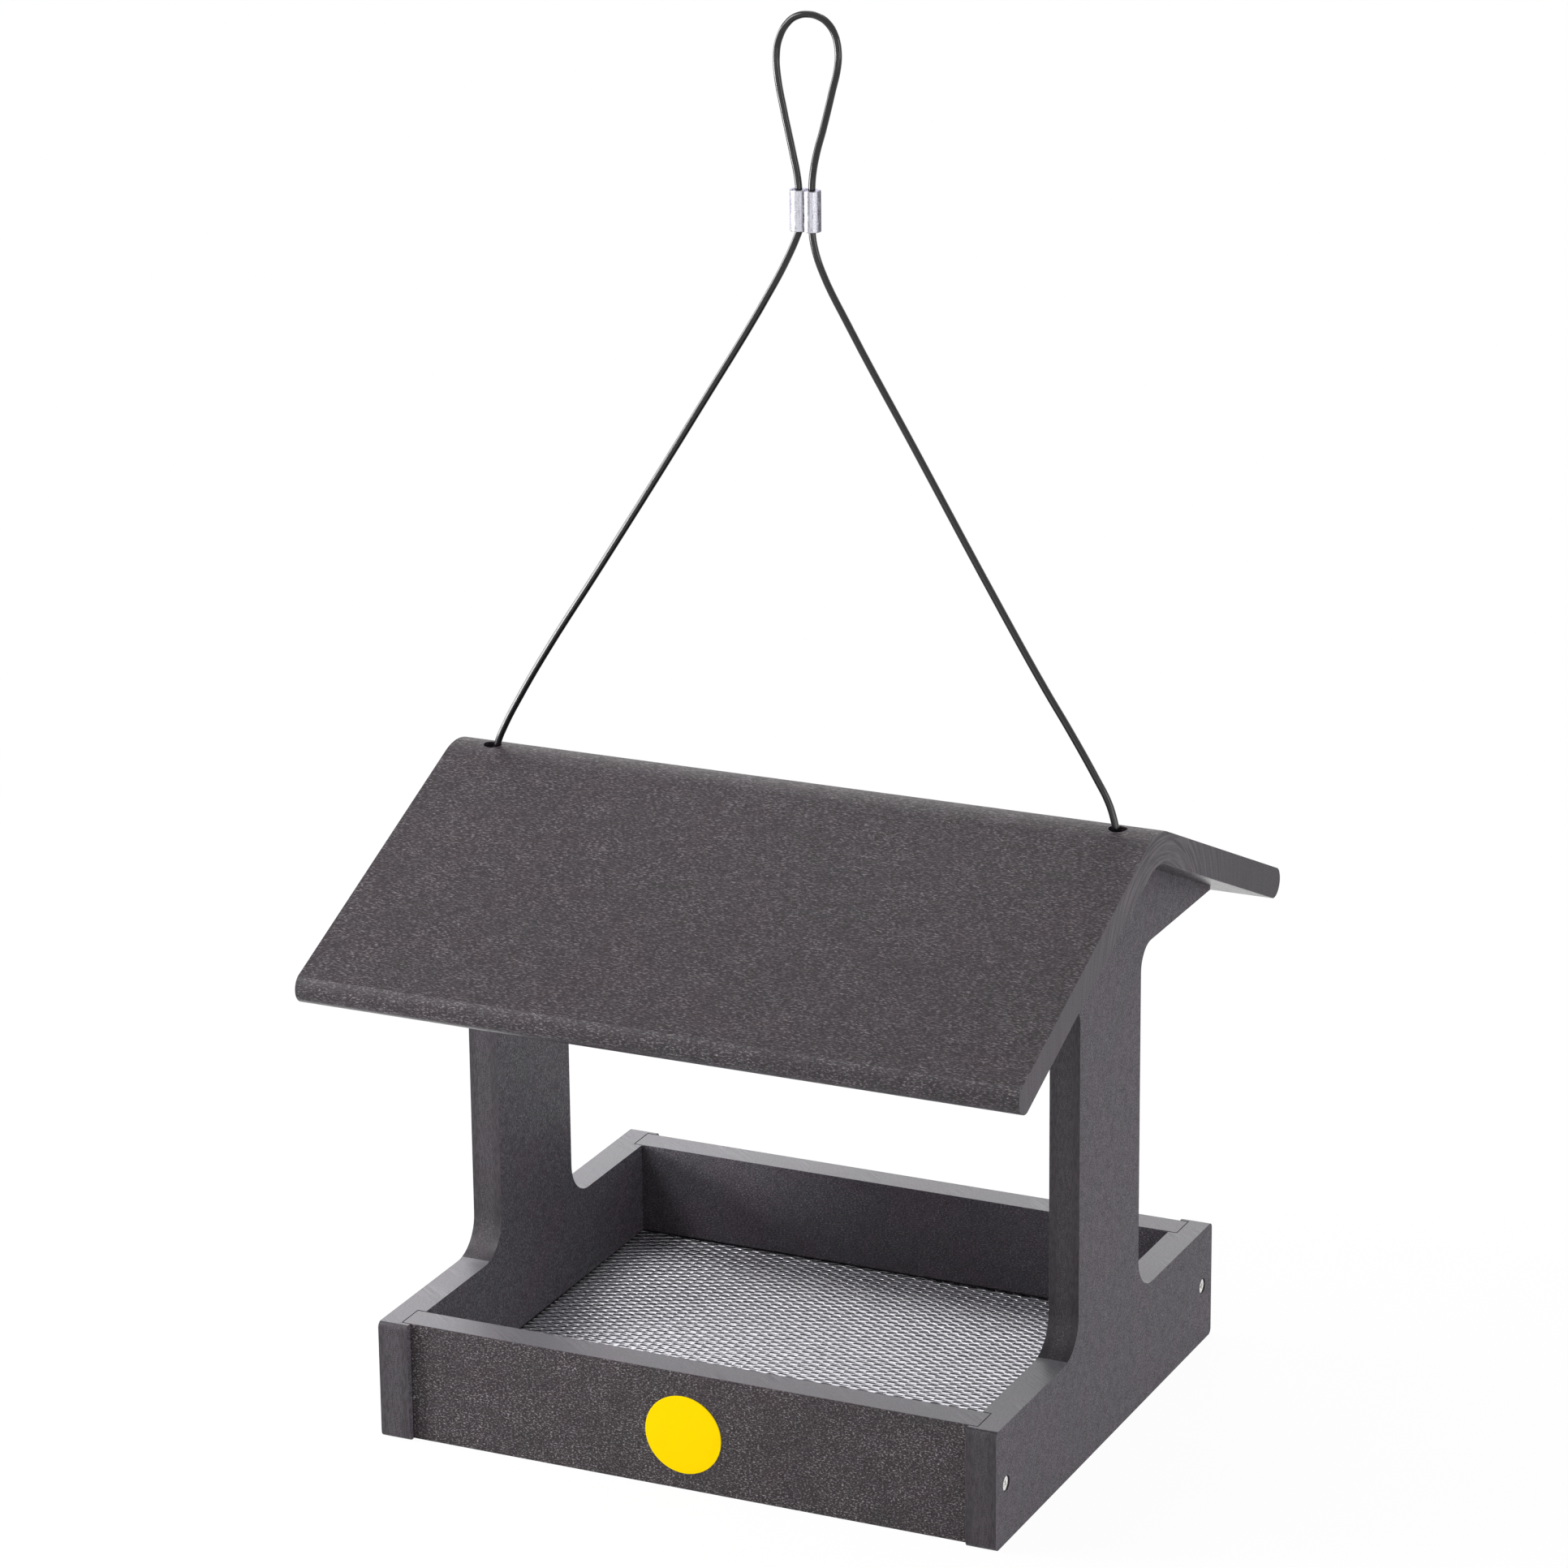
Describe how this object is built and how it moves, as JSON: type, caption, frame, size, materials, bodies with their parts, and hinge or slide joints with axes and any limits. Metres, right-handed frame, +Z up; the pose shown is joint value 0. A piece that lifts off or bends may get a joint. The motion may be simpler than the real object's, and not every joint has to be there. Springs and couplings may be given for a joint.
{
  "type": "fly-through bird feeder",
  "caption": "Open tray bird feeder with a mesh floor, uprights with gable heads at both ends, a one-piece pitched roof and a looped hanging cable.",
  "frame": {"origin": "centre of the tray's base, midway between the end frames and between front and back", "axes": "+Z up, +X along the ridge to the right as seen from the label's side, -Y towards the label's side"},
  "size_m": [0.38, 0.3436, 0.7063],
  "materials": {
    "frame_lumber": "brushed dark grey recycled plastic lumber",
    "board_lumber": "dark grey recycled plastic lumber with pale flecks",
    "roof_lumber": "dark grey recycled plastic lumber, drawn grain along the ridge",
    "expanded_metal": "bright mill finish",
    "screw_steel": "bright",
    "cable_coat": "smooth black coating",
    "sleeve_metal": "crimped, dull bright",
    "label_vinyl": "plain yellow vinyl"
  },
  "bodies": {
    "root": {"left_end_frame": "frame_lumber", "right_end_frame": "frame_lumber", "front_board": "board_lumber", "rear_board": "board_lumber", "mesh_floor": "expanded_metal", "tray_screws": "screw_steel", "roof": "roof_lumber", "hanger_cable": "cable_coat", "crimp_sleeve": "sleeve_metal", "left_cable_stop": "sleeve_metal", "right_cable_stop": "sleeve_metal", "front_label": "label_vinyl"}
  },
  "joints": []
}
